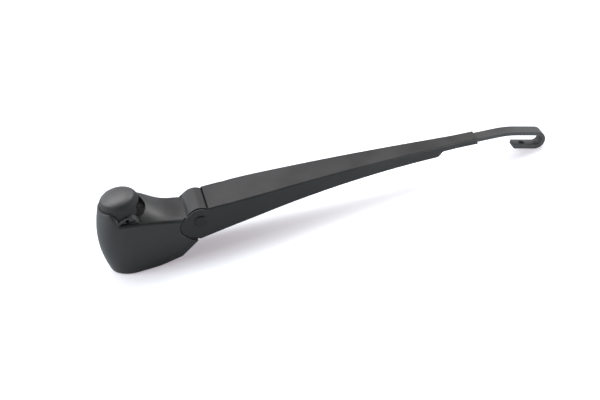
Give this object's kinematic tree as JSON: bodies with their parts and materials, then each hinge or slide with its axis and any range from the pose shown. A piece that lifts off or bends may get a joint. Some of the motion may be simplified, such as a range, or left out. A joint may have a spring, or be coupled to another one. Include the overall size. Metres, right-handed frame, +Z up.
{
  "type": "wiper arm",
  "caption": "Rear wiper arm without its blade: deep cast head with a domed cap, riveted hinge, tapering folded channel and a flat bar ending in a hook, all satin black.",
  "frame": {"origin": "on the spindle axis, in the plane of the foot's rim", "axes": "+X along the arm towards the hook, +Z up along the spindle towards the cap, -Y the side seen in the picture"},
  "size_m": [0.35, 0.0342, 0.0636],
  "materials": {
    "cast_black": "satin black powder coat on a casting",
    "cap_plastic": "moulded black, slightly greyed",
    "jet_plastic": "moulded black",
    "pin_steel": "satin black over a riveted head",
    "bush_plastic": "natural moulded",
    "channel_black": "satin black paint on folded sheet",
    "bar_black": "satin black paint on flat bar",
    "spring_steel": "oiled spring wire",
    "link_steel": "plain stamped",
    "pin_bare": "ground"
  },
  "bodies": {
    "head": {"arm_head": "cast_black", "pivot_cap": "cap_plastic", "jet_insert": "jet_plastic", "hinge_bush_near": "bush_plastic", "hinge_bush_far": "bush_plastic", "link_pin": "pin_bare"},
    "arm": {"arm_channel": "channel_black", "hook_bar": "bar_black", "hinge_pin": "pin_steel", "tension_spring": "spring_steel"},
    "link": {"spring_link": "link_steel"}
  },
  "joints": [
    {"name": "arm_lift", "type": "hinge", "parent": "head", "child": "arm", "pos_m": [0.0535, 0, 0.0297], "axis": [0, -1, 0], "range_deg": [0, 55], "stiffness_Nm_per_rad": 1},
    {"name": "link_swing", "type": "hinge", "parent": "head", "child": "link", "pos_m": [0.05675, 0, 0.02407], "axis": [0, -1, 0], "range_deg": [0, 55]}
  ],
  "couplings": [
    {"joint": "link_swing", "follows": "arm_lift", "ratio": 1}
  ]
}
